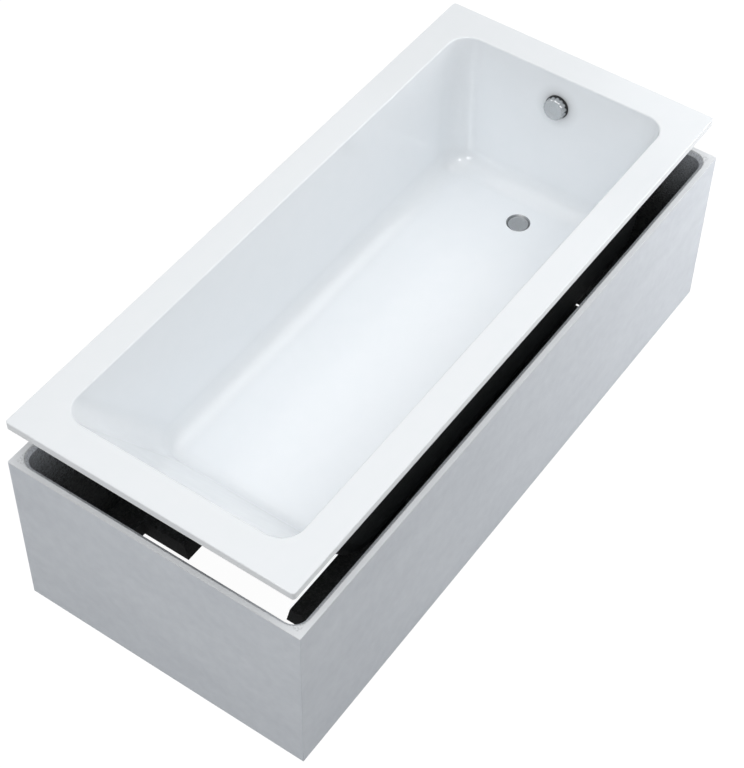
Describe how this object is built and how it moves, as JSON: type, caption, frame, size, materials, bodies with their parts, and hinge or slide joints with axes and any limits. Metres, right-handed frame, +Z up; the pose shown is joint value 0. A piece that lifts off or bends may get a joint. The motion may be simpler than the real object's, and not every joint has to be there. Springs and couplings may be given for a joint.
{
  "type": "rectangular bathtub on a tile-ready foam carrier",
  "caption": "Rectangular acrylic bath with a sloping backrest, knob-operated pop-up waste and overflow, raised on setting blocks in its tile-ready foam carrier.",
  "frame": {"origin": "centre of the carrier's footprint, on the floor that it stands on", "axes": "+X along the length towards the foot end with the waste and overflow, +Y across, +Z up"},
  "size_m": [1.725, 0.775, 0.611],
  "materials": {
    "white_acrylic": "high gloss, cast acrylic sheet",
    "mineral_coated_foam": "rigid foam with a thin mineral coat, matt and faintly mottled",
    "graphite_foam": "moulded graphite bead foam, matt",
    "glass_fibre_laminate": "sprayed glass-fibre resin with graphite filler",
    "chipboard": "raw chipboard under a thin resin coat",
    "satin_metal": "satin chrome",
    "black_plastic": "moulded, fine matt",
    "white_plastic": "moulded, smooth",
    "grey_plastic": "moulded, fine matt",
    "black_rubber": "matt"
  },
  "bodies": {
    "carrier": {"carrier_walls": "mineral_coated_foam", "floor_slab_left": "graphite_foam", "floor_slab_right": "graphite_foam", "floor_centre_board": "graphite_foam", "floor_foot_slab": "graphite_foam", "setting_block_head": "graphite_foam", "setting_block_foot": "graphite_foam"},
    "tub": {"tub_shell": "white_acrylic", "glass_fibre_backing": "glass_fibre_laminate", "base_board": "chipboard", "rim_batten_left": "chipboard", "rim_batten_right": "chipboard", "rim_batten_head": "chipboard", "rim_batten_foot": "chipboard", "overflow_rosette": "black_plastic", "overflow_gasket": "black_rubber", "overflow_body": "black_plastic", "hose_nut_upper": "black_plastic", "overflow_hose": "grey_plastic", "hose_nut_lower": "black_plastic", "cable_sleeve": "black_plastic", "drain_flange": "satin_metal", "drain_gasket": "black_rubber", "drain_body": "black_plastic", "lever_pin": "satin_metal", "trap_cup": "white_plastic", "trap_ring_nut": "white_plastic", "outlet_seal": "black_rubber", "outlet_nut": "white_plastic"},
    "knob": {"overflow_knob": "satin_metal", "knob_spindle": "satin_metal"},
    "plug": {"plug_cap": "satin_metal", "plug_seal": "black_rubber", "plug_stem": "satin_metal"},
    "lever": {"lift_lever": "satin_metal"},
    "elbow": {"outlet_elbow": "white_plastic"}
  },
  "joints": [
    {"name": "tub_lift", "type": "slide", "parent": "carrier", "child": "tub", "axis": [0, 0, 1], "range_m": [0, 0.45]},
    {"name": "knob_turn", "type": "hinge", "parent": "tub", "child": "knob", "pos_m": [0.74866, 0.006, 0.523], "axis": [-0.9925, 0, 0.1219], "range_deg": [0, 90]},
    {"name": "plug_lift", "type": "slide", "parent": "tub", "child": "plug", "axis": [0, 0, 1], "range_m": [0, 0.0093]},
    {"name": "lever_turn", "type": "hinge", "parent": "tub", "child": "lever", "pos_m": [0.604, 0.025, 0.181], "axis": [-1, 0, 0], "range_deg": [0, 28.1]},
    {"name": "elbow_swivel", "type": "hinge", "parent": "tub", "child": "elbow", "pos_m": [0.52, 0.006, 0.1395], "axis": [1, 0, 0], "range_deg": [-90, 90]}
  ],
  "couplings": [
    {"joint": "plug_lift", "follows": "knob_turn", "m_per_rad": 0.0058526},
    {"joint": "lever_turn", "follows": "knob_turn", "ratio": 0.31111}
  ]
}
